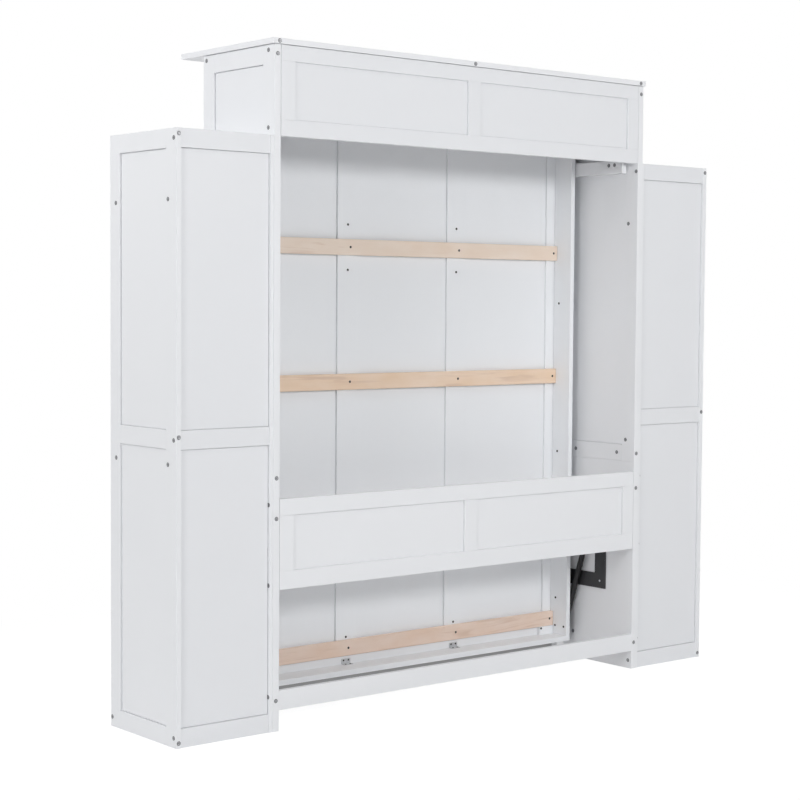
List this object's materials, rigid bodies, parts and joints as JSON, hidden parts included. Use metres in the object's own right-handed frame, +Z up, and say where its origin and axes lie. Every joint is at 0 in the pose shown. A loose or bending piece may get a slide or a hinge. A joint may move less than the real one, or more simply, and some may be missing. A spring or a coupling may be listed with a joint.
{
  "type": "wall bed with fold down desk",
  "caption": "Upright wall bed with gas strut side pivots, a slatted mattress frame, a fold-down desk on its front and an open shelf tower on each side.",
  "frame": {"origin": "on the floor, at the centre of the outer box in plan, with the bed folded up", "axes": "+X to the right as seen from the front, +Y to the wall, +Z up; the bed and the desk fold down towards -Y"},
  "size_m": [2.4404, 0.545, 2.24],
  "materials": {
    "white_board": "white satin lacquer on board",
    "slat_wood": "plain sawn softwood",
    "black_steel": "black powder coat",
    "rod_chrome": "polished",
    "zinc_steel": "zinc plated",
    "screw_steel": "dark nickel plated",
    "catch_plastic": "moulded, matte"
  },
  "bodies": {
    "cabinet": {"top_board": "white_board", "left_side_panel": "white_board", "right_side_panel": "white_board", "rear_header": "white_board", "rear_mid_panel": "white_board", "rear_bottom_rail": "white_board", "front_fascia": "white_board", "top_cleats": "white_board", "left_tower_outer_side": "white_board", "left_tower_inner_side": "white_board", "left_tower_back": "white_board", "left_tower_top": "white_board", "left_tower_bottom": "white_board", "left_tower_middle_shelf": "white_board", "left_tower_upper_shelf": "white_board", "left_tower_loose_shelves": "white_board", "right_tower_outer_side": "white_board", "right_tower_inner_side": "white_board", "right_tower_back": "white_board", "right_tower_top": "white_board", "right_tower_bottom": "white_board", "right_tower_middle_shelf": "white_board", "right_tower_upper_shelf": "white_board", "right_tower_loose_shelves": "white_board", "shelf_pins": "zinc_steel", "cabinet_screws": "screw_steel", "left_pivot_plate": "black_steel", "right_pivot_plate": "black_steel", "pivot_pins": "zinc_steel", "plate_screws": "zinc_steel"},
    "left_rod": {"left_strut_rod": "rod_chrome"},
    "left_tube": {"left_strut_tube": "black_steel"},
    "right_rod": {"right_strut_rod": "rod_chrome"},
    "right_tube": {"right_strut_tube": "black_steel"},
    "bed": {"bed_front": "white_board", "left_side_rail": "white_board", "right_side_rail": "white_board", "head_rail": "white_board", "foot_rail": "white_board", "slat_1": "slat_wood", "slat_2": "slat_wood", "slat_3": "slat_wood", "slat_4": "slat_wood", "slat_5": "slat_wood", "left_bed_plate": "black_steel", "right_bed_plate": "black_steel", "corner_brackets": "zinc_steel", "corner_blocks": "white_board", "buffer_blocks": "catch_plastic", "bed_screws": "screw_steel", "handles": "black_steel", "desk_ledger": "white_board", "desk_hinge_bases": "zinc_steel", "desk_catches": "catch_plastic", "bed_leg_brackets": "zinc_steel"},
    "desk": {"desk_top": "white_board", "desk_hinge_leaves": "zinc_steel", "desk_leg_brackets": "zinc_steel"},
    "desk_legs": {"desk_leg_frame": "white_board"},
    "bed_legs": {"bed_leg_frame": "white_board"}
  },
  "joints": [
    {"name": "bed_fold", "type": "hinge", "parent": "cabinet", "child": "bed", "pos_m": [0, -0.0675, 0.32], "axis": [1, 0, 0], "range_deg": [0, 90]},
    {"name": "left_rod_swing", "type": "hinge", "parent": "cabinet", "child": "left_rod", "pos_m": [-0.807, 0.1105, 0.69], "axis": [1, 0, 0], "range_deg": [0, 22]},
    {"name": "left_tube_slide", "type": "slide", "parent": "left_rod", "child": "left_tube", "axis": [0, 0.3122, 0.95], "range_m": [0, 0.218]},
    {"name": "right_rod_swing", "type": "hinge", "parent": "cabinet", "child": "right_rod", "pos_m": [0.807, 0.1105, 0.69], "axis": [1, 0, 0], "range_deg": [0, 22]},
    {"name": "right_tube_slide", "type": "slide", "parent": "right_rod", "child": "right_tube", "axis": [0, 0.3122, 0.95], "range_m": [0, 0.218]},
    {"name": "desk_fold", "type": "hinge", "parent": "bed", "child": "desk", "pos_m": [0, -0.153, 0.742], "axis": [1, 0, 0], "range_deg": [0, 90]},
    {"name": "desk_leg_swing", "type": "hinge", "parent": "desk", "child": "desk_legs", "pos_m": [0, -0.188, 1.182], "axis": [-1, 0, 0], "range_deg": [0, 90]},
    {"name": "bed_leg_swing", "type": "hinge", "parent": "bed", "child": "bed_legs", "pos_m": [0, -0.1525, 2.01], "axis": [-1, 0, 0], "range_deg": [0, 90]}
  ],
  "couplings": [
    {"joint": "left_rod_swing", "follows": "bed_fold", "ratio": 0.23242},
    {"joint": "right_rod_swing", "follows": "bed_fold", "ratio": 0.23242},
    {"joint": "left_tube_slide", "follows": "bed_fold", "m_per_rad": 0.13837},
    {"joint": "right_tube_slide", "follows": "bed_fold", "m_per_rad": 0.13837},
    {"joint": "desk_leg_swing", "follows": "desk_fold", "ratio": 1}
  ]
}
